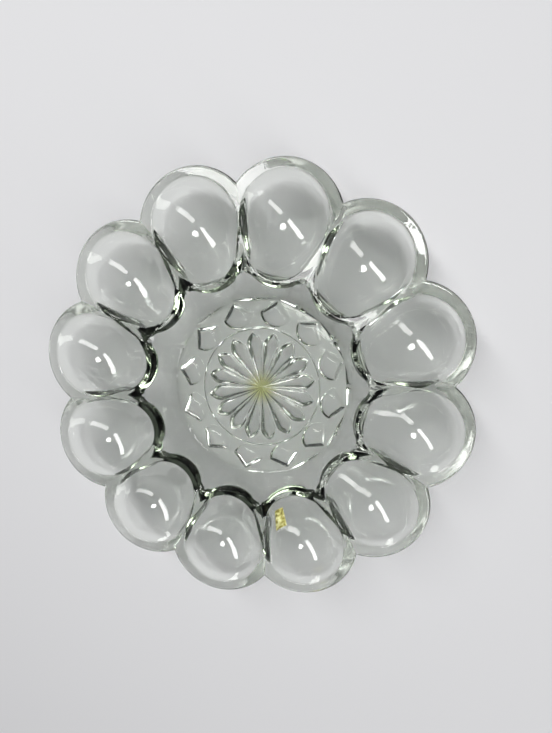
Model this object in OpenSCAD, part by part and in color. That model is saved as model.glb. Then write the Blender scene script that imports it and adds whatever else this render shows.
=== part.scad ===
// Deviled egg platter in heavy pressed glass, lying flat on its base.
// Millimetres, +Z up, the origin on the table under the middle of the platter, one lobe on +X.
// The glass is one moulded piece: a scalloped rim, a ring of egg wells whose broad ends point
// outwards, and a sunken centre whose underside carries the cut pattern.

/* [Platter] */
// Width across two opposite lobes
platter_d = 260; // [258:1:290]
// Height of the rim above the table
rim_h = 27; // [26:0.5:34]
// Number of egg wells, one in each lobe of the rim
well_n = 12; // [10:1:12]
// Radius of the outline of one lobe
lobe_r = 34; // [33:0.5:37]

/* [Rim] */
// Width of the rim outside the tip of a well
rim_band = 6.5; // [5:0.5:8]
// Height of the upright part of the rim's edge
edge_h = 2.5; // [2:0.1:4]
// Rounding of the rim's upper edge
edge_round = 1.5; // [1:0.1:1.8]
// Height over which the rim draws in underneath
flare_h = 9; // [6:0.5:12]
// How far the rim draws in underneath
flare_w = 7; // [6.5:0.25:9]

/* [Egg wells] */
// Half width of the broad end of the egg
broad_r = 24.6; // [23.6:0.1:24.8]
// Half width of the narrow end of the egg
narrow_r = 18.6; // [17:0.1:19]
// Distance between the centres of the two ends
end_gap = 14.5; // [12:0.25:16]
// Height of the egg's long axis above the rim
axis_lift = 2; // [1.5:0.1:3]
// Thickness of the glass round a well
wall = 3.5; // [3:0.1:3.5]

/* [Sunken centre] */
// How far the corners of the many-sided foot lie inside the platter's outer edge
foot_inset = 73.7; // [72.5:0.1:74.2]
// Thickness of the glass in the middle
floor_t = 7; // [6:0.25:9]
// How far the outer wall of the centre leans outwards
cup_lean = 18; // [15:0.5:20]
// Thickness of the sloping wall at the floor
cup_wall = 3.5; // [3:0.1:4.5]
// Width of the flat top of the arch round a well's narrow end
arch_w = 3.5; // [2.5:0.1:4]
// How much wider the arch is at the floor
arch_flare = 5.5; // [4:0.25:6]

/* [Rosette under the base] */
// Number of petals
petal_n = 16; // [12:1:16]
// Turn of the rosette against the wells, in degrees
rosette_turn = -2; // [-10:0.5:10]
// Radius of the tips of the petals
petal_tip = 35; // [33:0.25:36]
// Radius at which the petals start
petal_root = 8; // [7:0.5:10]
// Width of a petal near its tip
petal_w = 10.2; // [9:0.1:10.4]
// Depth of a petal near its tip
petal_depth = 2.2; // [2:0.1:2.6]

/* [Border under the base] */
// Radius of the ring line round the rosette
ring_r = 37.5; // [37.2:0.1:37.6]
// Width of the ring line
ring_w = 1.2; // [0.8:0.1:1.3]
// Depth of the ring line
ring_depth = 0.6; // [0.4:0.1:1]
// Length of a thumbprint along the ring
oval_l = 20; // [17:0.5:21]
// Width of a thumbprint across the ring, before its outer walls cut it short
oval_w = 19; // [17:0.5:20]
// Depth of a thumbprint
oval_depth = 2.2; // [1.6:0.1:2.6]
// Gap between the ring line and the thumbprints
oval_gap = 0.4; // [0.2:0.1:0.8]
// How far inside the foot's corner a thumbprint ends in a point
point_inset = 0.8; // [0.6:0.1:2.3]
// Angle between a thumbprint's axis and the straight walls that meet in its point
point_angle = 48; // [42:1:55]
// Steepness of those walls
point_slope = 45; // [40:1:55]

/* [Foil label] */
// Length of the blank foil label, along the well
label_l = 15; // [8:0.5:17]
// Width of the blank foil label
label_w = 7.5; // [5:0.5:9]
// Thickness of the foil and its glue
label_t = 0.2; // [0.15:0.05:0.3]
// Distance from the broad centre of the well to the middle of the label
label_back = 16; // [12:0.5:18]
// Angle of the label up the side of the well
label_turn = 40; // [25:1:45]

/* [Hidden] */
$fn = 96;

glass = [0.80, 0.86, 0.83, 0.45];
gold = [0.79, 0.62, 0.25];

// How far a cut runs past the face that it opens
overrun = 1;
// The same for the petals, whose tools may not meet each other below the foot
petal_overrun = 0.2;
// Gap between the label and the face of the well
label_gap = 0.02;
// The well that carries the label, counted from +X
label_well = 10;
// Straight steps along the label's curve
label_steps = 16;
// How far a drop's straight side lies inside the line that would just touch both of its circles, so
// that it meets each circle in a clean edge
side_inset = 0.01;

well_step = 360 / well_n;
tip_r = platter_d / 2;
lobe_at = tip_r - lobe_r;
broad_at = tip_r - rim_band - sqrt(broad_r * broad_r - axis_lift * axis_lift);
narrow_at = broad_at - end_gap;
axis_h = rim_h + axis_lift;
arch_r = sqrt(narrow_r * narrow_r - axis_lift * axis_lift) + arch_w;
arch_foot_r = arch_r + arch_flare * rim_h / (rim_h - floor_t);
// The sloping wall of the centre: flat sides outside, round and parallel to them inside
foot_r = tip_r - foot_inset;
cup_top_r = foot_r + cup_lean;
cup_slope = cup_lean / rim_h;
dish_r = (foot_r + cup_slope * floor_t) * cos(well_step / 2) - cup_wall;
dish_top_r = dish_r + cup_slope * (rim_h - floor_t);

// A petal is a round groove: its radius and the depth of its axis under the foot
petal_r = (petal_w * petal_w / 4 + petal_depth * petal_depth) / (2 * petal_depth);
petal_axis = petal_r - petal_depth;
petal_at = petal_tip - petal_w / 2;

// Radii of the spindle that presses a thumbprint: its waist and its long curve
waist_r = (oval_w * oval_w / 4 + oval_depth * oval_depth) / (2 * oval_depth);
curve_r = (oval_l * oval_l / 4 + oval_depth * oval_depth) / (2 * oval_depth);
oval_at = ring_r + ring_w / 2 + oval_gap + oval_w / 2;
point_r = foot_r - point_inset;

// Straight steps in the rounding of the rim's upper edge
round_steps = 3;

// The egg's side: its angle to the long axis and the stretch, from the broad centre, that is straight
egg_angle = asin((broad_r - narrow_r) / end_gap);
cone_from = broad_r * sin(egg_angle);
cone_to = end_gap + narrow_r * sin(egg_angle);

// Radius of the egg at distance s from its broad centre, towards the narrow end
function egg_r(s) =
    s < cone_from ? sqrt(broad_r * broad_r - s * s)
    : s > cone_to ? sqrt(narrow_r * narrow_r - (s - end_gap) * (s - end_gap))
    : broad_r * cos(egg_angle) - (s - cone_from) * tan(egg_angle);

// Outline of a drop turned about its long axis: two circles and the straight side from one to the other
module drop_outline(big, small, gap) {
    side_angle = asin((big - small) / gap);
    big_side = big - side_inset;
    small_side = small - side_inset;
    intersection() {
        union() {
            circle(r = big);
            translate([0, -gap]) circle(r = small);
            polygon([
                [0, -big_side * sin(side_angle)],
                [big_side * cos(side_angle), -big_side * sin(side_angle)],
                [small_side * cos(side_angle), -gap - small_side * sin(side_angle)],
                [0, -gap - small_side * sin(side_angle)],
            ]);
        }
        translate([0, -2 * big - gap]) square([2 * big, 4 * big + gap]);
    }
}

// Lays a well's outline along +X, its long axis above the rim
module on_well_axis() {
    translate([broad_at, 0, axis_h]) rotate([-90, 0, -90]) children();
}

// The egg that a well holds, grown by extra all round
module egg(extra = 0) {
    on_well_axis() rotate_extrude() drop_outline(broad_r + extra, narrow_r + extra, end_gap);
}

// Turns the children into every well's direction
module each_well() {
    for (i = [0 : well_n - 1])
        rotate(well_step * i) children();
}

// Stands round upright children at radius r on every well's axis
module stand_round(r) {
    for (i = [0 : well_n - 1])
        translate([r * cos(well_step * i), r * sin(well_step * i), 0]) children();
}

// One lobe of the rim: upright at the edge, rounded on top and drawn in underneath
module rim_lobe() {
    low = rim_h - edge_h - flare_h;
    rotate_extrude()
        polygon(concat(
            [[0, low], [lobe_r - flare_w, low], [lobe_r, rim_h - edge_h]],
            [for (i = [0 : round_steps])
                let (a = 90 * i / round_steps)
                    [lobe_r - edge_round * (1 - cos(a)), rim_h - edge_round * (1 - sin(a))]],
            [[0, rim_h]]
        ));
}

// The outer shells of the wells, cut off level with the rim
module well_shells() {
    intersection() {
        union() each_well() egg(wall);
        cylinder(h = rim_h, r = tip_r);
    }
}

// The outside of the centre, down to the foot: one flat side between each two wells
module cup_outside() {
    cylinder(h = rim_h, r1 = foot_r, r2 = cup_top_r, $fn = well_n);
}

// The hollow of the centre, less the arches that stand in it round the narrow ends
module dish_hollow() {
    over_r = overrun * cup_slope;
    difference() {
        translate([0, 0, floor_t])
            cylinder(h = rim_h - floor_t + overrun, r1 = dish_r, r2 = dish_top_r + over_r);
        stand_round(narrow_at) arch();
    }
}

// The arch round the narrow end of a well, wider at its foot
module arch() {
    taper = (arch_foot_r - arch_r) / rim_h;
    cylinder(h = rim_h + 2 * overrun, r1 = arch_foot_r, r2 = arch_r - 2 * overrun * taper);
}

// One petal of the rosette: a round groove that widens from the middle to a blunt tip
module petal() {
    root_share = petal_root / petal_at;
    lean = atan(petal_axis / petal_at);
    reach = petal_at / cos(lean);
    intersection() {
        rotate([0, lean, 0])
            translate([reach, 0, 0])
                rotate([-90, 0, -90])
                    rotate_extrude()
                        drop_outline(petal_r, petal_r * root_share, reach * (1 - root_share));
        translate([0, -petal_w, -petal_overrun]) cube([2 * petal_tip, 2 * petal_w, floor_t]);
    }
}

// The thin line pressed round the rosette
module ring_line() {
    rotate_extrude()
        polygon([
            [ring_r - ring_w / 2, -overrun],
            [ring_r + ring_w / 2, -overrun],
            [ring_r + ring_w / 2, 0],
            [ring_r, ring_depth],
            [ring_r - ring_w / 2, 0],
        ]);
}

// The straight outer wall of a thumbprint on one side, as the block of glass that it leaves
module point_wall() {
    translate([point_r, 0, 0])
        rotate(180 - point_angle)
            rotate([point_slope - 90, 0, 0])
                translate([-oval_l, -oval_l, -oval_l])
                    cube([2 * oval_l, oval_l, 2 * oval_l]);
}

// A thumbprint: part of a spindle laid across the radius, cut to a point on its outer side
module thumbprint() {
    difference() {
        translate([oval_at, 0, oval_depth - waist_r])
            rotate([90, 0, 0])
                rotate_extrude()
                    intersection() {
                        translate([waist_r - curve_r, 0]) circle(r = curve_r);
                        translate([0, -oval_l / 2]) square([waist_r, oval_l]);
                    }
        point_wall();
        mirror([0, 1, 0]) point_wall();
    }
}

// The whole pressed-glass body
module glass_platter() {
    color(glass)
        difference() {
            union() {
                stand_round(lobe_at) rim_lobe();
                well_shells();
                cup_outside();
            }
            each_well() egg();
            dish_hollow();
            rotate(rosette_turn)
                for (i = [0 : petal_n - 1])
                    rotate(360 * i / petal_n) petal();
            ring_line();
            each_well() thumbprint();
        }
}

// Outline of the thin skin on a well's face, from which the label is cut
module label_skin() {
    stops = [for (i = [0 : label_steps]) label_back + label_l * (i / label_steps - 1 / 2)];
    outer = [for (s = stops) [egg_r(s) - label_gap, -s]];
    inner = [for (i = [0 : label_steps])
        let (s = stops[label_steps - i])
            [egg_r(s) - label_gap - label_t, -s]];
    polygon(concat(outer, inner));
}

// A blank rectangle of foil that lies on the inner face of one well
module foil_label() {
    color(gold)
        rotate(well_step * label_well)
            intersection() {
                on_well_axis() rotate_extrude() label_skin();
                translate([broad_at - label_back, 0, axis_h])
                    rotate([-label_turn, 0, 0])
                        translate([-label_l, -label_w / 2, -broad_r - overrun])
                            cube([2 * label_l, label_w, broad_r + overrun]);
            }
}

glass_platter();
foil_label();
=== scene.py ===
# %% [markdown]
# # A pressed-glass egg platter, worked out with numpy
#
# A deviled egg platter is one heavy piece of clear glass. A hot lump is pressed between two halves of a
# mould: the upper half makes the egg wells and the sunken centre, the lower half makes the shells that
# hang under the wells and the pattern in the foot. Nothing is joined on afterwards, so the glass here is
# one closed mesh too. Light bends at its upper and at its lower face, and both have to be true.

# %% Load the frame
import math

import bmesh
import bpy
import numpy as np
from mathutils import Matrix, Vector


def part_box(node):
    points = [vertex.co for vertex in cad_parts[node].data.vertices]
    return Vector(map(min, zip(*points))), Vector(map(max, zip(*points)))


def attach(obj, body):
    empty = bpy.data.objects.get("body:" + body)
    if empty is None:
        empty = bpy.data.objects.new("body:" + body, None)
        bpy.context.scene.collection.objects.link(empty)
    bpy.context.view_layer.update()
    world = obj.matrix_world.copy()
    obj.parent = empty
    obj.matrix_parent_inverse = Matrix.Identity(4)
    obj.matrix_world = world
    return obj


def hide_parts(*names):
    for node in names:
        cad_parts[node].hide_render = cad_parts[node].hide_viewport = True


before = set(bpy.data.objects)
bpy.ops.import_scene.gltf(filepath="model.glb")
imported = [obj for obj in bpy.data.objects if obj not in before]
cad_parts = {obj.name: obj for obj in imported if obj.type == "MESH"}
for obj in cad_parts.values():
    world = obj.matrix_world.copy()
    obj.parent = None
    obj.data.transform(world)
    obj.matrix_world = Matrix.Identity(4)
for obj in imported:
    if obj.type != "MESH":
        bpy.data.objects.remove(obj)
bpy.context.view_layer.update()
print("solids in the frame:", sorted(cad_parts))

# %% [markdown]
# ## Sizes
#
# The script works in millimetres, as a mould maker would, and turns them into metres when a mesh is
# made. The overall width and height come from the frame. The other sizes are the driving sizes of the
# moulded shape: each is a name here, and every place further down is worked out from them.

# %% Sizes of the platter
MM = 0.001
high_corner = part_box("glass_platter")[1]
TIP_R = high_corner[0] / MM
RIM_H = high_corner[2] / MM
WELLS = 12
WELL_STEP = 2 * math.pi / WELLS
HALF_STEP = WELL_STEP / 2

LOBE_R = 34.0
LOBE_AT = TIP_R - LOBE_R
EDGE_H = 2.5
EDGE_ROUND = 1.5
LOWER_ROUND = 0.5
FLARE_H = 9.0
FLARE_W = 7.0
LOBE_LOW = RIM_H - EDGE_H - FLARE_H
LOWER_RIM_R = LOBE_R - LOWER_ROUND * FLARE_W / math.hypot(FLARE_W, FLARE_H)

RIM_BAND = 6.5
BROAD_R = 24.6
NARROW_R = 18.6
END_GAP = 14.5
AXIS_LIFT = 2.0
WALL = 3.5
AXIS_H = RIM_H + AXIS_LIFT
BROAD_AT = TIP_R - RIM_BAND - math.sqrt(BROAD_R ** 2 - AXIS_LIFT ** 2)
NARROW_AT = BROAD_AT - END_GAP
WELL_EDGE_ROUND = 1.2

FOOT_R = 56.3
FOOT_FLAT_R = FOOT_R * math.cos(HALF_STEP)
FLOOR_T = 7.0
CUP_LEAN = 18.0
CUP_WALL = 3.5
CUP_RISE = RIM_H / (CUP_LEAN * math.cos(HALF_STEP))
DISH_R = (FOOT_R + CUP_LEAN * FLOOR_T / RIM_H) * math.cos(HALF_STEP) - CUP_WALL
DISH_RISE = RIM_H / CUP_LEAN
ARCH_W = 3.5
ARCH_FLARE = 5.5
ARCH_R = math.sqrt(NARROW_R ** 2 - AXIS_LIFT ** 2) + ARCH_W
ARCH_RUN = ARCH_FLARE / (RIM_H - FLOOR_T)
print("platter", round(2 * TIP_R, 2), "mm wide and", round(RIM_H, 2), "mm high")

# %% [markdown]
# ## Rounded joins between surfaces
#
# Where two faces of a mould meet, the glass never fills the corner fully: it leaves a small round.
# Taking the lower of two heights gives the sharp corner. The smooth version below subtracts a little
# near the place where both heights are equal, which is a small fillet. Its mirror gives the upper one.


# %% Smooth lower and upper of two heights
def lower_of(a, b, blend):
    """The lower of two heights. Where their gap is less than blend, the result dips by
    (blend - gap)^2 / (4 blend)."""
    near = np.maximum(blend - np.abs(a - b), 0)
    return np.minimum(a, b) - near ** 2 / (4 * blend)


def upper_of(a, b, blend):
    """The upper of two heights, rounded in the same way: minus the lower of both turned over."""
    return -lower_of(-a, -b, blend)


level = np.zeros(1)
print("two equal heights, blended over 1 mm, dip by", -lower_of(level, level, 1.0)[0], "mm")

# %% [markdown]
# ## The egg
#
# Every well is the lower half of an egg that lies on its side, broad end outwards. The egg is a solid of
# revolution about a level axis just above the rim: a ball at each end, and a cone that touches both. Its
# underside, the shell, is the same egg grown by the thickness of the wall.

# %% The egg's radius, its height and its normal
FLANK_SIN = (BROAD_R - NARROW_R) / END_GAP
FLANK_COS = math.sqrt(1 - FLANK_SIN ** 2)
STEEP = 1e3


def egg_radius(x, grow=0.0):
    """Radius of the egg at x on its axis: a circle round the broad centre, a straight flank, and a
    circle round the narrow centre, each moved out by grow."""
    broad = BROAD_R + grow
    narrow = NARROW_R + grow
    on_broad = np.sqrt(np.maximum(broad ** 2 - (x - BROAD_AT) ** 2, 0))
    on_narrow = np.sqrt(np.maximum(narrow ** 2 - (x - NARROW_AT) ** 2, 0))
    on_flank = (broad + (x - BROAD_AT) * FLANK_SIN) / FLANK_COS
    inner = np.where(x > NARROW_AT - narrow * FLANK_SIN, on_flank, on_narrow)
    return np.where(x > BROAD_AT - broad * FLANK_SIN, on_broad, inner)


def egg_height(x, y, grow=0.0):
    """Height of the egg's lower skin: the axis minus sqrt(radius^2 - y^2). Beside the egg it shoots
    up, so that the egg is never the lowest face there."""
    under = egg_radius(x, grow) ** 2 - y ** 2
    return np.where(under > 0, AXIS_H - np.sqrt(np.maximum(under, 0)), AXIS_H - under * STEEP)


def egg_normal(x, y, z, grow=0.0):
    """Outward normal of the grown egg at a point on it: minus the slope of its radius along the axis,
    and the direction away from the axis across it."""
    radius = egg_radius(x, grow)
    broad = (x - BROAD_AT) / radius
    narrow = (x - NARROW_AT) / radius
    flank = -FLANK_SIN / FLANK_COS
    along = np.where(x < NARROW_AT - (NARROW_R + grow) * FLANK_SIN, narrow, flank)
    along = np.where(x > BROAD_AT - (BROAD_R + grow) * FLANK_SIN, broad, along)
    normal = np.stack([along, y / radius, (z - AXIS_H) / radius], axis=-1)
    return normal / np.linalg.norm(normal, axis=-1, keepdims=True)


deepest = egg_height(np.array([BROAD_AT]), np.zeros(1))[0]
print("a well's deepest point lies", round(deepest, 2), "mm above the table")

# %% [markdown]
# ## Upper and lower face
#
# All twelve wells are alike, so one slice of 30 degrees is worked out, with its well on +X, and turned.
# Seen from above the rim is level. Inside it stand twelve round arches, and between them the wall of the
# sunken centre runs down to a flat floor. Underneath, the shells, the flared rim and the twelve-sided
# cup of the centre grow into each other: the face is the lowest of them all.

# %% Heights of both faces
TOP_ROUND = 1.3
CORNER_ROUND = 0.9
UNDER_ROUND = 1.4
FOOT_ROUND = 0.8


def mirrored(x, y):
    """The same point as the next well sees it: reflected in the line half way between the two."""
    r = np.hypot(x, y)
    angle = WELL_STEP - np.abs(np.arctan2(y, x))
    return r * np.cos(angle), r * np.sin(angle)


def upper_face(x, y):
    """Height of the glass outside the wells: the lower of the rim and of the highest of floor, wall
    and arches."""
    dish = FLOOR_T + (np.hypot(x, y) - DISH_R) * DISH_RISE
    inside = upper_of(dish, np.full_like(x, FLOOR_T), CORNER_ROUND)
    for px, py in ((x, y), mirrored(x, y)):
        arch = RIM_H - (np.hypot(px - NARROW_AT, py) - ARCH_R) / ARCH_RUN
        inside = upper_of(inside, arch, CORNER_ROUND)
    return lower_of(inside, np.full_like(x, RIM_H), TOP_ROUND)


def lower_face(x, y):
    """Height of the underside: the lowest of two shells, two lobes and the cup, but never below the
    foot."""
    r = np.hypot(x, y)
    flat_r = r * np.cos(HALF_STEP - np.abs(np.arctan2(y, x)))
    face = (flat_r - FOOT_FLAT_R) * CUP_RISE
    for px, py in ((x, y), mirrored(x, y)):
        past_flare = np.maximum(np.hypot(px - LOBE_AT, py) - LOBE_R + FLARE_W, 0)
        lobe = LOBE_LOW + past_flare * FLARE_H / FLARE_W
        body = lower_of(egg_height(px, py, WALL), lobe, UNDER_ROUND)
        face = lower_of(face, body, UNDER_ROUND)
    return upper_of(face, np.zeros_like(x), FOOT_ROUND)


probe = np.array([DISH_R, NARROW_AT, BROAD_AT])
print("underside on a well's axis:", np.round(lower_face(probe, np.zeros_like(probe)), 2), "mm")

# %% [markdown]
# ## The pattern under the centre
#
# The foot carries a rosette of sixteen petals, a thin ring line and twelve thumbprints. They are pressed
# up into the glass, and one sees them through it. A petal is a mitre cut: two hollow flanks that meet in
# a crease along its middle, with narrow lands between the petals and a pointed tip. A thumbprint is a
# slice of a spindle laid across the radius, with a level bottom, and two sloping walls cut it short on
# its outer side. A bump in the material would be easier, but only real facets bend light as glass does:
# those steeper than about 42 degrees mirror it, and that draws the dark and bright lines.

# %% Depth of the pattern
PETALS = 16
PETAL_STEP = 2 * math.pi / PETALS
ROSETTE_TURN = math.radians(-2.0)
PETAL_TIP = 35.0
PETAL_KNEE = 26.5
LAND_SPOKES = 10
SPOKES = 384
PETAL_SPREAD = math.tan(2 * math.pi * LAND_SPOKES / SPOKES)
PETAL_SWELL = 0.5
SWELL_REACH = 5.0
FLANK_BEND = 2.25
FLANK_SHIFT = 0.8
RING_R = 37.5
RING_HALF = 0.7
RING_DEPTH = 0.6
OVAL_AT = 48.0
OVAL_HALF_L = 10.0
OVAL_HALF_W = 9.5
OVAL_DEPTH = 4.4
OVAL_FLOOR = 2.5
OVAL_BLEND = 1.8
POINT_R = 55.5
POINT_ANGLE = math.radians(48.0)
POINT_SLOPE = math.tan(math.radians(42.0))
FACET_ROUND = 0.25
# A depth that stands for no cut, and a half width that keeps a share from dividing by zero
NO_CUT = -10.0
LEAST_HALF = 1e-6


def circle_through(half, depth):
    """Radius of the circle whose slice is twice half wide and depth deep."""
    return (half ** 2 + depth ** 2) / (2 * depth)


def nearest_axis(angle, step):
    """Angle measured from the nearest of the axes that stand step apart."""
    return (angle + step / 2) % step - step / 2


def petal_half(along):
    """Half the width of a petal: a straight spread plus a bell-shaped swell near the knee, and past the
    knee times 1 - u^2, where u runs from 0 there to 1 at the tip."""
    swell = PETAL_SWELL * np.exp(-((along - PETAL_KNEE) / SWELL_REACH) ** 2)
    past = np.clip((along - PETAL_KNEE) / (PETAL_TIP - PETAL_KNEE), 0, 1)
    return (PETAL_SPREAD * along + swell) * (1 - past ** 2)


def petal_depth(r, angle):
    """Depth of the rosette: w (sqrt(k^2 - (t/w + b)^2) - sqrt(k^2 - (1 + b)^2)), where t is the
    distance from the petal's middle, w its half width there, and k and b the radius and the shift of a
    flank's bow."""
    turned = nearest_axis(angle - ROSETTE_TURN, PETAL_STEP)
    half = np.maximum(petal_half(r * np.cos(turned)), LEAST_HALF)
    share = np.minimum(np.abs(r * np.sin(turned)) / half, 1) + FLANK_SHIFT
    at_edge = math.sqrt(FLANK_BEND ** 2 - (1 + FLANK_SHIFT) ** 2)
    return half * (np.sqrt(FLANK_BEND ** 2 - share ** 2) - at_edge)


def ring_depth(r):
    """Depth of the ring line: a cosine bump across it."""
    share = np.minimum(np.abs(r - RING_R) / RING_HALF, 1)
    return RING_DEPTH * np.cos(share * math.pi / 2) ** 2


def thumbprint_depth(r, angle):
    """Depth of a thumbprint: the lowest of a spindle's skin, a level bottom, and two straight sloping
    walls that meet in a point on the well's axis."""
    turned = nearest_axis(angle, WELL_STEP)
    x = r * np.cos(turned)
    y = np.abs(r * np.sin(turned))
    waist = circle_through(OVAL_HALF_W, OVAL_DEPTH)
    curve = circle_through(OVAL_HALF_L, OVAL_DEPTH)
    girth = waist - curve + np.sqrt(np.maximum(curve ** 2 - y ** 2, 0))
    across = girth ** 2 - (x - OVAL_AT) ** 2
    spindle = np.where(across > 0, OVAL_DEPTH - waist + np.sqrt(np.maximum(across, 0)), NO_CUT)
    wall = ((POINT_R - x) * math.sin(POINT_ANGLE) - y * math.cos(POINT_ANGLE)) * POINT_SLOPE
    bowl = lower_of(spindle, np.full_like(x, OVAL_FLOOR), OVAL_BLEND)
    return upper_of(lower_of(bowl, wall, FACET_ROUND), np.zeros_like(x), FACET_ROUND / 2)


def pattern_depth(r, angle):
    """The deepest of the three cuts."""
    return np.maximum(np.maximum(petal_depth(r, angle), ring_depth(r)), thumbprint_depth(r, angle))


knee_depth = pattern_depth(np.array([PETAL_KNEE]), np.array([ROSETTE_TURN]))[0]
print("a petal is", round(knee_depth, 2), "mm deep at its knee")

# %% [markdown]
# ## A net that follows the shape
#
# A regular net of squares would cut across the edges of the wells and leave them ragged. This one runs
# round them instead. Its columns start at the deepest point of a well and fan out to the slice's border:
# the rim on the outside, the line between two wells at the side, and a ring on the floor. Its rows are
# spread along each column by arc length, and closer together where the surface turns.


# %% Columns round a well
def line_hit(centre, angle):
    """Place on the line between two wells where a ray from (centre, 0) at that angle meets it."""
    reach = centre * math.sin(HALF_STEP) / np.sin(angle - HALF_STEP)
    return np.stack([centre + reach * np.cos(angle), reach * np.sin(angle)], axis=-1)


def angle_of(centre, point):
    """Direction of a point as seen from (centre, 0)."""
    return math.atan2(point[1], point[0] - centre)


def lobe_corner(radius):
    """Angle, seen from the lobe's centre, at which a circle round it meets the line between two
    wells."""
    return math.pi / 2 + HALF_STEP - np.arccos(LOBE_AT * math.sin(HALF_STEP) / radius)


def half_columns(rim_r, ring, counts):
    """Half of the columns of a slice, from the tip to the middle: (centre of the ray, its angle, and its
    end on the border). rim_r is the border's circle round the lobe, ring(angle) its inner ring."""
    lobe_n, broad_n, flank_n, narrow_n, ring_n = counts
    corner = lobe_corner(rim_r) * np.linspace(0, 1, lobe_n + 1)
    lobe_ends = np.stack([LOBE_AT + rim_r * np.cos(corner), rim_r * np.sin(corner)], axis=-1)
    flank = math.pi / 2 + math.asin(FLANK_SIN)
    first = angle_of(BROAD_AT, lobe_ends[-1])
    broad = np.linspace(first, flank, broad_n + 1)[1:]
    inner_angle = HALF_STEP * np.linspace(1, 0, ring_n + 1)
    inner_way = np.stack([np.cos(inner_angle), np.sin(inner_angle)], axis=-1)
    inner_ends = inner_way * ring(inner_angle)[:, None]
    last = angle_of(NARROW_AT, inner_ends[0])
    narrow = np.linspace(flank, last, narrow_n + 1)[:-1]
    broad_ends = line_hit(BROAD_AT, broad)
    narrow_ends = line_hit(NARROW_AT, narrow)
    steps = np.linspace(0, 1, flank_n + 1)[1:-1, None]
    flank_ends = broad_ends[-1] + (narrow_ends[0] - broad_ends[-1]) * steps
    lobe_angle = np.arctan2(lobe_ends[:, 1], lobe_ends[:, 0] - BROAD_AT)
    ring_angle = np.linspace(last, math.pi, ring_n + 1)
    centre = np.concatenate([
        np.full(lobe_n + 1 + broad_n, BROAD_AT),
        BROAD_AT - END_GAP * steps[:, 0],
        np.full(narrow_n + ring_n + 1, NARROW_AT),
    ])
    angle = np.concatenate([lobe_angle, broad, np.full(flank_n - 1, flank), narrow, ring_angle])
    ends = np.concatenate([lobe_ends, broad_ends, flank_ends, narrow_ends, inner_ends])
    return centre, angle, ends


def on_outline(centre, angle, grow, depth):
    """Where those rays leave the grown egg, cut level at depth below its axis: x from the ray and the
    egg's own radius, y from sqrt(radius^2 - depth^2)."""
    share = (BROAD_AT - centre) / END_GAP
    girth = BROAD_R + (NARROW_R - BROAD_R) * share + grow
    x = centre + np.sqrt(girth ** 2 - depth ** 2) * np.cos(angle)
    y = np.sqrt(np.maximum(egg_radius(x, grow) ** 2 - depth ** 2, 0))
    return x, y


def floor_ring(angle):
    """The ring on the dish's floor at which the upper face's slices stop."""
    return np.full_like(angle, DISH_FLOOR_R)


def foot_ring(angle):
    """The twelve-sided edge of the foot: its flat radius over the cosine of the angle from the flat."""
    return FOOT_FLAT_R / np.cos(HALF_STEP - np.abs(nearest_axis(angle, WELL_STEP)))


DISH_FLOOR_R = 50.0
# Columns of half a slice: along the lobe, broad end, flank, narrow end and inner ring
TOP_COUNTS = (16, 7, 6, 12, 6)
UNDER_COUNTS = (16, 5, 5, 9, 16)
top_columns = half_columns(LOBE_R - EDGE_ROUND, floor_ring, TOP_COUNTS)
under_columns = half_columns(LOWER_RIM_R, foot_ring, UNDER_COUNTS)
print("columns in half a slice:", len(top_columns[0]), "above,", len(under_columns[0]), "below")

# %% [markdown]
# ## Rows along the columns
#
# A column is a straight line on the plan. The face above it has flat stretches and tight corners, so
# rows at even steps would waste points on the flats and miss the corners. Each column is first sampled
# finely. Its arc length is added up, with some more wherever it turns, and the rows are put at even
# steps of that.

# %% Spread rows by arc length and by turn
FINE_SAMPLES = 320
TURN_MM = 4.0


def plan_line(start, end, share):
    """Points on the straight plan line from start to end: start + (end - start) share."""
    return start[:, None] + (end - start)[:, None] * share[..., None]


def raised(plan, height):
    """Plan points with the height of the face added as their third number."""
    z = height(plan[..., 0], plan[..., 1])
    return np.concatenate([plan, z[..., None]], axis=-1)


def follow(start, end, height, rows):
    """Rows from start to end on a face, at even steps of its arc length plus TURN_MM for each radian
    of turn."""
    fine = np.linspace(0, 1, FINE_SAMPLES)
    path = raised(plan_line(start, end, np.broadcast_to(fine, (len(start), FINE_SAMPLES))), height)
    step = np.diff(path, axis=1)
    length = np.linalg.norm(step, axis=-1)
    unit = step / length[..., None]
    turn = np.arccos(np.clip((unit[:, 1:] * unit[:, :-1]).sum(axis=-1), -1, 1)) * TURN_MM / 2
    weight = length
    weight[:, 1:] += turn
    weight[:, :-1] += turn
    total = np.concatenate([np.zeros((len(start), 1)), np.cumsum(weight, axis=1)], axis=1)
    wanted = np.linspace(0, 1, rows + 1)
    share = np.stack([np.interp(wanted * line[-1], line, fine) for line in total])
    return raised(plan_line(start, end, share), height)


def whole_slice(half):
    """Both halves of a slice as one closed net: the half, then its mirror image in reverse."""
    other = half[-2:0:-1] * np.array([1, -1, 1])
    return np.concatenate([half, other, half[:1]])


print("rows are spread over", FINE_SAMPLES, "samples a column")

# %% [markdown]
# ## One slice of the upper face
#
# From the bottom of the well the rows climb its wall, go over the rounded edge, and cross the rim to the
# border of the slice. The round at the edge is a ball rolled along the inside of the corner: its centre
# lies on the egg grown by the ball's radius, and it touches the wall and the level rim.

# %% Upper slice
WELL_ROWS = 14
EDGE_ROWS = 3
LAND_ROWS = 16
WELL_POLE = np.array([[92.0, 0.0]])


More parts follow.
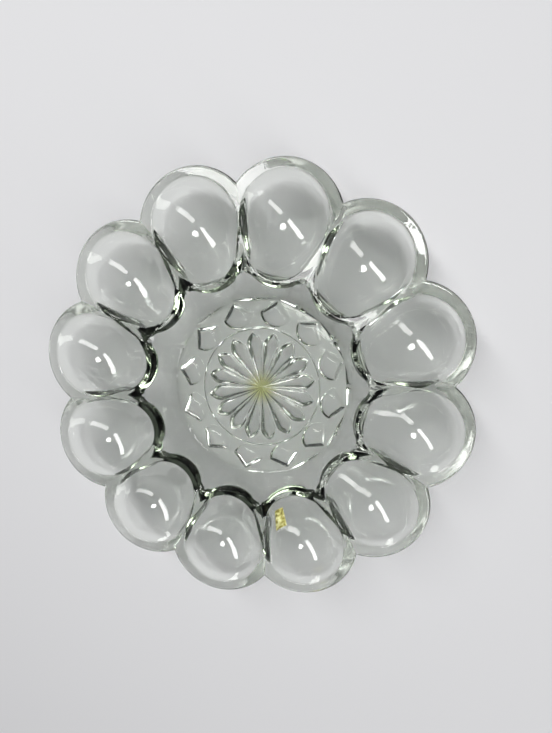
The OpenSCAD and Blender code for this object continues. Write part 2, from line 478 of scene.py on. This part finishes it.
def well_edge(centre, angle):
    """The rounded edge of a well: the ball's centre plus its radius times a direction that swings from
    the wall, which is the egg's inward normal, up to straight above."""
    x, y = on_outline(centre, angle, WELL_EDGE_ROUND, AXIS_LIFT + WELL_EDGE_ROUND)
    z = np.full_like(x, RIM_H - WELL_EDGE_ROUND)
    wall = -egg_normal(x, y, z, WELL_EDGE_ROUND)
    above = np.broadcast_to(np.array([0.0, 0.0, 1.0]), wall.shape)
    between = np.arccos(wall[:, 2])[:, None, None]
    share = np.linspace(0, 1, EDGE_ROWS + 1)[None, :, None]
    swing = np.sin((1 - share) * between) * wall[:, None] + np.sin(share * between) * above[:, None]
    ball = np.stack([x, y, z], axis=-1)[:, None]
    return ball + WELL_EDGE_ROUND * swing / np.sin(between)


def upper_slice():
    """Well, rounded edge and rim of one slice, as (column, row, xyz)."""
    centre, angle, ends = top_columns
    edge = well_edge(centre, angle)
    climb = np.sin(np.linspace(0, math.pi / 2, WELL_ROWS + 1)[:-1])
    start = np.repeat(WELL_POLE, len(centre), axis=0)
    rows = np.broadcast_to(climb, (len(centre), WELL_ROWS))
    bowl = raised(plan_line(start, edge[:, 0, :2], rows), egg_height)
    land = follow(edge[:, -1, :2], ends, upper_face, LAND_ROWS)
    return whole_slice(np.concatenate([bowl, edge, land[:, 1:]], axis=1))


upper_net = upper_slice()
print("upper slice:", upper_net.shape[0] - 1, "columns,", upper_net.shape[1] - 1, "rows")

# %% [markdown]
# ## One slice of the underside, and the edge of the rim
#
# Underneath, the rows run from the lowest point of the shell to the border in one go. The edge of the
# rim is a strip between the two faces: a quarter round at the top, an upright band, and a small round
# where the flare begins. Its ends lie on the line between two lobes at every height, so the strips
# close up.

# %% Lower slice and rim strip
UNDER_ROWS = 17
ROUND_ROWS = 5
LOWER_ROWS = 3


def lower_slice():
    """Underside of one slice, as (column, row, xyz)."""
    ends = under_columns[2]
    start = np.repeat(WELL_POLE, len(ends), axis=0)
    return whole_slice(follow(start, ends, lower_face, UNDER_ROWS))


def rim_profile():
    """Radius round the lobe's centre and height of the strip's rows: a quarter circle, then a curve with
    its control point on the lower corner."""
    turn = np.linspace(0, math.pi / 2, ROUND_ROWS + 1)
    round_r = LOBE_R - EDGE_ROUND + EDGE_ROUND * np.sin(turn)
    round_z = RIM_H - EDGE_ROUND + EDGE_ROUND * np.cos(turn)
    t = np.linspace(0, 1, LOWER_ROWS + 1)
    corner_z = RIM_H - EDGE_H
    end_z = LOBE_LOW + (LOWER_RIM_R - LOBE_R + FLARE_W) * FLARE_H / FLARE_W
    curve_r = LOBE_R * (1 - t ** 2) + LOWER_RIM_R * t ** 2
    curve_z = (corner_z + LOWER_ROUND) * (1 - t) ** 2 + 2 * corner_z * t * (1 - t) + end_z * t ** 2
    share = np.concatenate([np.zeros(ROUND_ROWS + 1), t])
    return np.concatenate([round_r, curve_r]), np.concatenate([round_z, curve_z]), share


def rim_strip():
    """The edge of the rim of one slice, as (row, column, xyz): the profile carried along the lobe's
    circle. Its last row is drawn to the underside."""
    radius, z, share = rim_profile()
    across = np.linspace(-1, 1, 2 * TOP_COUNTS[0] + 1)
    angle = lobe_corner(radius)[:, None] * across
    x = LOBE_AT + radius[:, None] * np.cos(angle)
    y = radius[:, None] * np.sin(angle)
    gap = lower_face(x[-1], y[-1]) - z[-1]
    return np.stack([x, y, z[:, None] + share[:, None] * gap], axis=-1)


lower_net = lower_slice()
rim_net = rim_strip()
print("lower slice:", lower_net.shape[0] - 1, "columns,", lower_net.shape[1] - 1, "rows")
print("rim strip:", rim_net.shape[0] - 1, "rows,", rim_net.shape[1] - 1, "columns")

# %% [markdown]
# ## The centre
#
# Above, the centre is a flat disc. Underneath, it is a net of rings and spokes. There are 24 spokes to a
# petal, turned with the rosette, so a spoke lies on the crease of every petal and keeps it sharp. Further
# out the spokes swing back to the wells, and the rings change into the twelve-sided foot.

# %% Upper and lower centre
PETAL_PLAIN_R = 18.0
SWING_FROM = 35.5
SWING_TO = 40.0
LINE_FROM = 36.6
LINE_TO = 38.4
DISC_RINGS = 4
# Each span of rings: its inner and outer radius, and how many rings it gets
RING_SPANS = (
    (0.0, PETAL_PLAIN_R, 8),
    (PETAL_PLAIN_R, PETAL_KNEE, 10),
    (PETAL_KNEE, SWING_FROM, 28),
    (SWING_FROM, LINE_FROM, 2),
    (LINE_FROM, LINE_TO, 8),
    (LINE_TO, FOOT_R, 46),
)


def centre_under():
    """Underside of the centre, as (ring, spoke, xyz): the higher of the pattern and the foot's rounded
    edge. The turn of the spokes fades by the smooth step 3 u^2 - 2 u^3."""
    spans = [np.linspace(first, last, count + 1)[1:] for first, last, count in RING_SPANS]
    ring = np.concatenate([[0.0]] + spans)[:, None]
    spoke = np.linspace(0, 2 * math.pi, SPOKES + 1)[None, :]
    swing = np.clip((SWING_TO - ring) / (SWING_TO - SWING_FROM), 0, 1)
    angle = spoke + ROSETTE_TURN * swing * swing * (3 - 2 * swing)
    outside = np.maximum(ring - SWING_TO, 0) / (FOOT_R - SWING_TO)
    r = np.minimum(ring, SWING_TO) + outside * (foot_ring(angle) - SWING_TO)
    turned = nearest_axis(angle, WELL_STEP)
    foot = lower_face(r * np.cos(turned), r * np.sin(turned))
    z = np.maximum(pattern_depth(r, angle), foot)
    return np.stack([r * np.cos(angle), r * np.sin(angle), z], axis=-1)


def centre_top():
    """Flat floor of the dish, as (ring, spoke, xyz)."""
    ring = DISH_FLOOR_R * np.linspace(0, 1, DISC_RINGS + 1)[:, None]
    spoke = np.linspace(0, 2 * math.pi, 2 * TOP_COUNTS[-1] * WELLS + 1)[None, :]
    x = ring * np.cos(spoke)
    y = ring * np.sin(spoke)
    return np.stack([x, y, np.full_like(x, FLOOR_T)], axis=-1)


under_net = centre_under()
print("centre:", under_net.shape[0] - 1, "rings,", SPOKES, "spokes")

# %% [markdown]
# ## From nets to one closed mesh
#
# Each net becomes a grid of four-sided faces. The slices are turned eleven times, and then all points
# that lie on each other are merged, which closes every seam and turns the quads at the poles into
# triangles. Joining solids with modifiers would be the other way, but it leaves slivers along every
# seam. A closed mesh has exactly two faces at each edge. That is easy to count, so it is.


# %% Weld nets into a mesh
WELD_M = 1e-6


def grid_faces(rows, columns, first):
    """Corners of a grid's faces: each point, its neighbour, and the same two of the next row."""
    corner = first + np.arange((rows - 1) * columns).reshape(rows - 1, columns)[:, :-1]
    return np.stack([corner, corner + 1, corner + columns + 1, corner + columns], axis=-1).reshape(-1, 4)


def turned_about_z(points, angle):
    """Points turned about the upright axis."""
    c = math.cos(angle)
    s = math.sin(angle)
    return points @ np.array([[c, s, 0], [-s, c, 0], [0, 0, 1]])


def mesh_from_nets(name, nets):
    """One mesh from several nets in millimetres, with its seams merged and its faces turned outwards."""
    points = np.concatenate([net.reshape(-1, 3) for net in nets]) * MM
    starts = np.cumsum([0] + [net.shape[0] * net.shape[1] for net in nets])
    faces = np.concatenate([grid_faces(*net.shape[:2], start) for net, start in zip(nets, starts)])
    mesh = bpy.data.meshes.new(name)
    mesh.from_pydata(points, [], faces.tolist())
    work = bmesh.new()
    work.from_mesh(mesh)
    bmesh.ops.remove_doubles(work, verts=work.verts, dist=WELD_M)
    bmesh.ops.recalc_face_normals(work, faces=work.faces)
    open_edges = sum(1 for edge in work.edges if len(edge.link_faces) != 2)
    volume = work.calc_volume(signed=True)
    work.to_mesh(mesh)
    work.free()
    mesh.update()
    cubic_mm = round(volume / MM ** 3)
    print(name, len(mesh.polygons), "faces,", open_edges, "open edges,", cubic_mm, "cubic mm")
    return mesh


def place(name, mesh, node):
    """Put a finished mesh into the scene as the piece that stands for a solid of the frame."""
    piece = bpy.data.objects.new(name, mesh)
    bpy.context.scene.collection.objects.link(piece)
    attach(piece, "root")
    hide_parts(node)


SHARP_TURN = math.radians(38)
slice_nets = (upper_net, lower_net, rim_net)
nets = [turned_about_z(net, WELL_STEP * i) for i in range(WELLS) for net in slice_nets]
glass_mesh = mesh_from_nets("platter_glass", nets + [centre_top(), under_net])
glass_mesh.shade_smooth()
glass_mesh.set_sharp_from_angle(angle=SHARP_TURN)
place("platter_glass", glass_mesh, "glass_platter")
print("triangles:", sum(len(face.vertices) - 2 for face in glass_mesh.polygons))

# %% [markdown]
# ## The foil label
#
# One well still carries its label: a small blank piece of gold foil, stuck down by hand and creased
# since. It lies on the egg's face, so its two parameters are the distance along the egg's axis and the
# angle round it. A cloth simulation could crumple it, but foil stuck to glass only has straight folds:
# each lifts the foil by how near a point lies to a line across it.

# %% Foil label
LABEL_L = 15.0
LABEL_W = 7.5
LABEL_BACK = 16.0
LABEL_TURN = math.radians(40)
LABEL_WELL = 10
LABEL_GAP = 0.03
FOIL_T = 0.08
LABEL_COLUMNS = 90
LABEL_LINES = 46
LABEL_SEED = 12
ALL_ROUND = (0, 6)
FOLDS = 26
FOLD_PLACE = (-0.5, 0.5)
FOLD_REACH = (0.35, 1.3)
FOLD_HEIGHT = (0.02, 0.09)
FADE_ALONG = (0.3, 1.1)
FADE_ACROSS = (0.3, 1.4)
TEAR_DEPTH = 0.3
TEAR_WAVE = 0.16
TEAR_TURN = 1.7
TEAR_PARTS = (1, 2, 3, 5, 8)


def folds(u, v, rng):
    """Lift of the foil: the sum of tents height max(0, 1 - distance / reach) about random straight
    lines, each of which fades in and out along itself as 1/2 + 1/2 sin."""
    lift = np.zeros_like(u)
    for _ in range(FOLDS):
        angle = rng.uniform(0, math.pi)
        along = rng.uniform(*FOLD_PLACE) * LABEL_L * abs(math.cos(angle))
        offset = along + rng.uniform(*FOLD_PLACE) * LABEL_W
        reach = rng.uniform(*FOLD_REACH)
        height = rng.uniform(*FOLD_HEIGHT)
        distance = np.abs(u * math.cos(angle) + v * math.sin(angle) - offset)
        wave = u * rng.uniform(*FADE_ALONG) + v * rng.uniform(*FADE_ACROSS) + rng.uniform(*ALL_ROUND)
        lift += height * (0.5 + 0.5 * np.sin(wave)) * np.maximum(1 - distance / reach, 0)
    return lift


def ragged(along, rng):
    """How far a torn edge draws in: a depth plus sine waves, whose size falls as 1/k and whose turn
    grows as k."""
    waves = [TEAR_WAVE / k * np.sin(along * k * TEAR_TURN + rng.uniform(*ALL_ROUND)) for k in TEAR_PARTS]
    return TEAR_DEPTH + sum(waves)


def label_net():
    """Upper and lower side of the foil as one closed tube of points, as (line, column, xyz)."""
    rng = np.random.default_rng(LABEL_SEED)
    s = np.linspace(-1, 1, LABEL_LINES)[:, None]
    t = np.linspace(-1, 1, LABEL_COLUMNS)[None, :]
    length = LABEL_L / 2 - np.where(t > 0, ragged(s * LABEL_W, rng), ragged(s * LABEL_W + 1, rng))
    width = LABEL_W / 2 - np.where(s > 0, ragged(t * LABEL_L, rng), ragged(t * LABEL_L + 2, rng))
    u = t * length
    v = s * width
    lift = folds(u, v, rng)
    x = BROAD_AT - LABEL_BACK + u
    middle = egg_radius(np.full_like(u, BROAD_AT - LABEL_BACK))
    roll = LABEL_TURN + v / middle
    sides = []
    for height in (LABEL_GAP, LABEL_GAP + FOIL_T + lift):
        girth = egg_radius(x) - height
        sides.append(np.stack([x, -girth * np.sin(roll), AXIS_H - girth * np.cos(roll)], axis=-1))
    closed = np.concatenate([sides[0], sides[1][::-1], sides[0][:1]])
    ends = [np.stack([sides[0][:, k], sides[1][:, k]]) for k in (0, -1)]
    return [turned_about_z(net, WELL_STEP * LABEL_WELL) for net in [closed] + ends]


label_mesh = mesh_from_nets("label_foil", label_net())
label_mesh.shade_smooth()
label_mesh.set_sharp_from_angle(angle=SHARP_TURN)
place("label_foil", label_mesh, "foil_label")

# %% [markdown]
# ## Shader sums as Python sums
#
# A material is a small program made of nodes. Written out node by node it is hard to read, so one class
# wraps a node's output: adding or multiplying two of them adds the Math node that does it. Every other
# node comes from one method, which takes its type, its settings and what goes into its sockets.


# %% A wrapper for sockets
class Signal:
    """A node's output that takes part in sums."""

    def __init__(self, shader, socket):
        self.shader = shader
        self.socket = socket

    def maths(self, operation, *values):
        """Add the Math node that works on these values."""
        return self.shader.node("ShaderNodeMath", {"operation": operation}, dict(enumerate(values)))

    def __add__(self, other):
        return self.maths("ADD", self, other)

    def __radd__(self, other):
        return self.maths("ADD", other, self)

    def __sub__(self, other):
        return self.maths("SUBTRACT", self, other)

    def __rsub__(self, other):
        return self.maths("SUBTRACT", other, self)

    def __mul__(self, other):
        return self.maths("MULTIPLY", self, other)

    def __rmul__(self, other):
        return self.maths("MULTIPLY", other, self)

    def __pow__(self, other):
        return self.maths("POWER", self, other)

    def __rpow__(self, other):
        return self.maths("POWER", other, self)

    def above(self, start, end):
        """0 below start, 1 above end, and a smooth change between them."""
        settings = {"interpolation_type": "SMOOTHSTEP"}
        inputs = {"Value": self, "From Min": start, "From Max": end}
        return self.shader.node("ShaderNodeMapRange", settings, inputs)


class Shader:
    """The node tree of one material or of the world."""

    def __init__(self, owner):
        owner.use_nodes = True
        self.tree = owner.node_tree
        self.tree.nodes.clear()

    def node(self, kind, settings=None, inputs=None, output=0):
        """Add a node: its settings first, then its sockets, then hand back one of its outputs."""
        node = self.tree.nodes.new(kind)
        for key, value in (settings or {}).items():
            if key == "stops":
                self.set_stops(node.color_ramp.elements, value)
            else:
                setattr(node, key, value)
        for key, value in (inputs or {}).items():
            if isinstance(value, Signal):
                self.tree.links.new(value.socket, node.inputs[key])
            else:
                node.inputs[key].default_value = value
        return Signal(self, node.outputs[output] if len(node.outputs) else None)

    def set_stops(self, elements, stops):
        """Give a ramp its places and colours."""
        while len(elements) < len(stops):
            elements.new(1.0)
        for element, (place_on_ramp, colour) in zip(elements, stops):
            element.position = place_on_ramp
            element.color = (*colour, 1.0)

    def noise(self, where, scale, detail=2.0, roughness=0.5):
        """Soft noise around one half, with a given number of swells to a metre."""
        inputs = {"Vector": where, "Scale": scale, "Detail": detail, "Roughness": roughness}
        return self.node("ShaderNodeTexNoise", None, inputs)

    def blend(self, factor, first, second):
        """Mix of two colours."""
        settings = {"data_type": "RGBA"}
        return self.node("ShaderNodeMix", settings, {0: factor, 6: first, 7: second}, output=2)


print("shader wrapper ready")

# %% [markdown]
# ## Pressed glass
#
# Plain soda glass bends light by 1.5 and takes a little red and blue out of it, so thin parts look clear
# and the rim, where light travels a long way through it, looks grey-green. That tint belongs in the
# volume, not on the surface. The skin is not perfect either: a cooled pressing has slow waves, the foot
# has been pushed over tables and is lightly scratched, and the creases in the middle have yellowed.

# %% Glass material
# Lengths in materials are in metres. A noise is its swells to a metre, its detail and its roughness, and
# a share is where a mask starts and where it is full.
GLASS_BEND = 1.5
GLASS_COLOUR = (0.985, 0.992, 0.982, 1.0)
YELLOWED = (0.90, 0.88, 0.28, 1.0)
ABSORBED = (0.66, 0.80, 0.54, 1.0)
ABSORB_DENSITY = 16.0
SKIN_ROUGH = 0.012
WAVES = (70.0, 1.0)
WAVE_HEIGHT = 0.00022
FINE_WAVES = (420.0,)
FINE_WAVE_HEIGHT = 0.00002
ABOVE_FOOT = (0.0001, 0.0006)
SCRATCHES = (900.0, 6.0, 0.7)
SCRATCH_TURN = (0, 0, 0.6)
SCRATCH_STRETCH = (1, 0.05, 1)
SCRATCH_SHARE = (0.52, 0.72)
SCRATCH_ROUGH = 0.16
SMEARS = (35.0, 4.0, 0.6)
SMEAR_SHARE = (0.5, 0.8)
SMEAR_ROUGH = 0.02
YELLOW_R = (0.001, 0.014)
YELLOW_H = (0.004, 0.006)


def pressed_glass():
    """Clear glass with slow waves, a worn foot and a yellowed middle."""
    material = bpy.data.materials.new("pressed_glass")
    shader = Shader(material)
    where = shader.node("ShaderNodeTexCoord", None, None, output=3)
    parts = [shader.node("ShaderNodeSeparateXYZ", None, {0: where}, output=k) for k in range(3)]
    radius = (parts[0] * parts[0] + parts[1] * parts[1]) ** 0.5
    at_foot = 1 - parts[2].above(*ABOVE_FOOT)
    stretched = {"Vector": where, "Rotation": SCRATCH_TURN, "Scale": SCRATCH_STRETCH}
    streaks = shader.node("ShaderNodeMapping", None, stretched)
    scratches = shader.noise(streaks, *SCRATCHES).above(*SCRATCH_SHARE)
    smears = shader.noise(where, *SMEARS).above(*SMEAR_SHARE)
    rough = SKIN_ROUGH + at_foot * scratches * SCRATCH_ROUGH + smears * SMEAR_ROUGH
    middle = (1 - radius.above(*YELLOW_R)) * (1 - parts[2].above(*YELLOW_H))
    slow = shader.noise(where, *WAVES) * WAVE_HEIGHT
    waves = slow + shader.noise(where, *FINE_WAVES) * FINE_WAVE_HEIGHT
    skin = shader.node("ShaderNodeBump", None, {"Strength": 1.0, "Distance": 1.0, "Height": waves})
    surface = shader.node("ShaderNodeBsdfPrincipled", None, {
        "Base Color": shader.blend(middle, GLASS_COLOUR, YELLOWED),
        "Roughness": rough,
        "IOR": GLASS_BEND,
        "Transmission Weight": 1.0,
        "Normal": skin,
    })
    tint = {"Color": ABSORBED, "Density": ABSORB_DENSITY}
    volume = shader.node("ShaderNodeVolumeAbsorption", None, tint)
    shader.node("ShaderNodeOutputMaterial", None, {"Surface": surface, "Volume": volume})
    return material


glass_mesh.materials.append(pressed_glass())
print("glass bends light by", GLASS_BEND)

# %% [markdown]
# ## Creased gold foil
#
# The foil is metal, so all its colour sits in its reflection. Its lacquer has darkened in some patches
# and has worn off in others, which shows as a brown and a paler gold: one noise and a ramp of three
# colours. Fine wrinkles too small for the mesh are left to a bump.

# %% Foil material
GOLD = (0.56, 0.52, 0.17)
DARK_GOLD = (0.20, 0.17, 0.04)
PALE_GOLD = (0.88, 0.86, 0.50)
GOLD_STOPS = ((0.40, DARK_GOLD), (0.50, GOLD), (0.62, PALE_GOLD))
PATCHES = (380.0, 5.0, 0.65)
FOIL_ROUGH = 0.24
FOIL_ROUGH_SPREAD = 0.22
ROUGH_SPOTS = (620.0, 3.0)
WRINKLES_PER_M = 900.0
WRINKLE_HEIGHT = 0.0002
WRINKLE_STRENGTH = 0.6


def gold_foil():
    """Crumpled metallic gold with darker and paler patches."""
    material = bpy.data.materials.new("gold_foil")
    shader = Shader(material)
    where = shader.node("ShaderNodeTexCoord", None, None, output=3)
    patches = shader.noise(where, *PATCHES)
    colour = shader.node("ShaderNodeValToRGB", {"stops": GOLD_STOPS}, {"Fac": patches})
    rough = FOIL_ROUGH + FOIL_ROUGH_SPREAD * shader.noise(where, *ROUGH_SPOTS)
    cells = {"Vector": where, "Scale": WRINKLES_PER_M}
    wrinkles = shader.node("ShaderNodeTexVoronoi", {"feature": "DISTANCE_TO_EDGE"}, cells)
    bump = shader.node("ShaderNodeBump", None, {
        "Strength": WRINKLE_STRENGTH,
        "Distance": WRINKLE_HEIGHT,
        "Height": wrinkles,
    })
    surface = shader.node("ShaderNodeBsdfPrincipled", None, {
        "Base Color": colour,
        "Metallic": 1.0,
        "Roughness": rough,
        "Normal": bump,
    })
    shader.node("ShaderNodeOutputMaterial", None, {"Surface": surface})
    return material


label_mesh.materials.append(gold_foil())
print("foil:", len(label_mesh.materials), "material")

# %% [markdown]
# ## Stage: floor, light and camera
#
# The platter lies on a plain pale floor. It only has to be level, pale and dull, so a single face does.

# %% Floor
FLOOR_DROP = 0.0003
FLOOR_HALF = 3.0
FLOOR_COLOUR = (0.70, 0.70, 0.71, 1.0)
FLOOR_ROUGH = 0.9


def pale_floor():
    """A wide flat sheet just under the foot."""
    corners = FLOOR_HALF * np.array([[-1, -1], [1, -1], [1, 1], [-1, 1]])
    points = np.column_stack([corners, np.full(4, -FLOOR_DROP)])
    mesh = bpy.data.meshes.new("floor")
    mesh.from_pydata(points, [], [(0, 1, 2, 3)])
    material = bpy.data.materials.new("floor")
    shader = Shader(material)
    dull = {"Base Color": FLOOR_COLOUR, "Roughness": FLOOR_ROUGH}
    surface = shader.node("ShaderNodeBsdfPrincipled", None, dull)
    shader.node("ShaderNodeOutputMaterial", None, {"Surface": surface})
    mesh.materials.append(material)
    floor = bpy.data.objects.new("floor", mesh)
    bpy.context.scene.collection.objects.link(floor)


pale_floor()
print("floor", FLOOR_DROP / MM, "mm under the foot")

# %% [markdown]
# Clear glass has no colour to light up. What draws it is what it bends and mirrors: a long narrow panel
# for the streak that runs down each well, a round lamp for the spot beside it, a second panel at the
# side, and a darker room around, which steep faces pick up as dark lines. Each lamp stands where the
# flat floor of the dish doesn't mirror it into the camera.

# %% Light
ROOM_GREY = (0.08, 0.08, 0.085, 1.0)
ROOM_LEVEL = 1.0
# Each lamp: name, azimuth and height in degrees, distance and size in metres, power in watts
LONG_PANELS = (
    ("window_panel", 140, 58, 1.4, (0.22, 1.7), 13.5),
    ("side_panel", -30, 40, 1.5, (0.3, 1.6), 8.4),
)
ROUND_LAMP = ("round_lamp", 62, 68, 1.2, (0.28, 0.28), 4.1)


def toward(azimuth, height):
    """Unit direction from the middle of the platter: azimuth from +X towards +Y, height above the
    table."""
    a = math.radians(azimuth)
    h = math.radians(height)
    return np.array([math.cos(a) * math.cos(h), math.sin(a) * math.cos(h), math.sin(h)])


def turned_to(direction, roll=0.0):
    """Rotation that points an object's own +Z along a direction, then rolls it about that."""
    aim = Vector(direction).to_track_quat("Z", "Y").to_matrix().to_4x4()
    return aim @ Matrix.Rotation(roll, 4, "Z")


def panel(name, azimuth, height, distance, size, power, round_shape=False):
    """A soft lamp that faces the middle of the platter."""
    lamp = bpy.data.lights.new(name, "AREA")
    lamp.shape = "DISK" if round_shape else "RECTANGLE"
    lamp.size = size[0]
    if not round_shape:
        lamp.size_y = size[1]
    lamp.energy = power
    piece = bpy.data.objects.new(name, lamp)
    bpy.context.scene.collection.objects.link(piece)
    piece.matrix_world = turned_to(toward(azimuth, height))
    piece.location = toward(azimuth, height) * distance


world = bpy.data.worlds.new("room")
bpy.context.scene.world = world
room = Shader(world)
room_light = room.node("ShaderNodeBackground", None, {"Color": ROOM_GREY, "Strength": ROOM_LEVEL})
room.node("ShaderNodeOutputWorld", None, {"Surface": room_light})
for long_panel in LONG_PANELS:
    panel(*long_panel)
panel(*ROUND_LAMP, round_shape=True)
print("lamps:", [lamp.name for lamp in bpy.data.lights])

# %% [markdown]
# The camera looks at the platter as the photograph does: from almost straight above, with one well at
# the top of the picture. Its place, its turn and its lens were found by matching the outline of the rim
# and the tips of the petals. The photograph's middle isn't where its lens points, as in a cropped
# picture, so the camera has a small shift, written as a share of the picture's height.

# %% Camera
VIEW_AZIMUTH = 63.65
VIEW_HEIGHT = 77.67
VIEW_ROLL = math.radians(-140.77)
VIEW_DISTANCE = 0.28017
VIEW_TARGET = np.array([0.03563, 0.00032, 0.0])
SENSOR_MM = 36.0
LENS_MM = 21.66
SHIFT_X = -0.0550
SHIFT_Y = 0.0443
NEAREST_M = 0.01


def photo_camera():
    """Camera on the sight line, rolled so that the top well is up in the picture."""
    data = bpy.data.cameras.new("photo_camera")
    data.sensor_fit = "VERTICAL"
    data.sensor_height = SENSOR_MM
    data.lens = LENS_MM
    data.shift_x = SHIFT_X
    data.shift_y = SHIFT_Y
    data.clip_start = NEAREST_M
    camera = bpy.data.objects.new("photo_camera", data)
    bpy.context.scene.collection.objects.link(camera)
    direction = toward(VIEW_AZIMUTH, VIEW_HEIGHT)
    camera.matrix_world = turned_to(direction, VIEW_ROLL)
    camera.location = VIEW_TARGET + direction * VIEW_DISTANCE
    return camera


bpy.context.scene.camera = photo_camera()
bpy.context.scene.view_settings.view_transform = "Standard"
print("camera at", [round(c, 4) for c in bpy.context.scene.camera.location])
